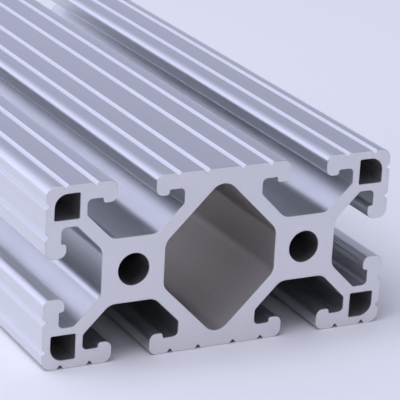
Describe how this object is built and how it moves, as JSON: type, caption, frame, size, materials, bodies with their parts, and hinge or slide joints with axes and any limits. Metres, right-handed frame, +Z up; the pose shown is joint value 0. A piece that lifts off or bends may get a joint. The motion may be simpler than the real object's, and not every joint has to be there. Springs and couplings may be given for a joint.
{
  "type": "aluminium extrusion profile",
  "caption": "Straight aluminium T-slot framing profile, wide rectangular section with slots on every side, core holes and hollow cavities, sawn square at both ends.",
  "frame": {"origin": "middle of the underside, where the bar lies on the floor", "axes": "+X across the wide side, +Y along the length, +Z up through the short side"},
  "size_m": [0.0762, 0.15, 0.0381],
  "materials": {
    "anodised_aluminium": "clear satin anodised, bare sawn ends"
  },
  "bodies": {
    "root": {"profile": "anodised_aluminium"}
  },
  "joints": []
}
